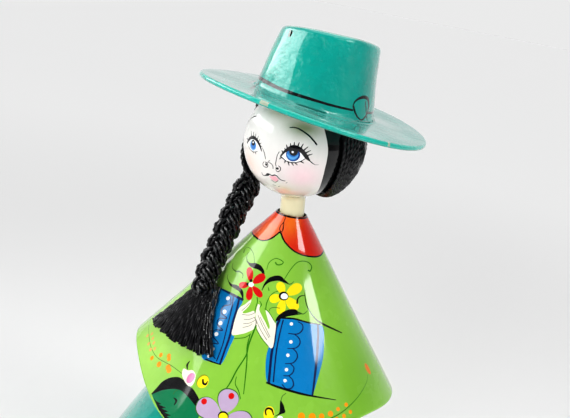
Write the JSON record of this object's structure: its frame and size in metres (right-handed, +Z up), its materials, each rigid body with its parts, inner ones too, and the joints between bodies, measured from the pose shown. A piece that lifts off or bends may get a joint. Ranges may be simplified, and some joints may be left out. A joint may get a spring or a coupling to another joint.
{
  "type": "papier-mache figure",
  "caption": "Papier-mache figure of a girl on a wide cone base, with a flared painted poncho, a wide flat hat and a string plait.",
  "frame": {"origin": "middle of the flat underside, on the surface that the figure stands on", "axes": "+Z up, the figure's front faces -Y, and its left hand is at +X"},
  "size_m": [0.18, 0.18, 0.2628],
  "materials": {
    "body_paint": "lacquered teal paint on paper pulp, glossy",
    "poncho_paint": "lacquered leaf-green paint with painted ornament, glossy",
    "skin_paint": "lacquered cream paint with a painted face, glossy",
    "hair_string": "stiff black string soaked in lacquer, glossy",
    "hat_paint": "lacquered teal paint on hand-laid paper, glossy and slightly uneven"
  },
  "bodies": {
    "root": {"body": "body_paint", "poncho": "poncho_paint", "head": "skin_paint", "hair": "hair_string", "hat": "hat_paint"}
  },
  "joints": []
}
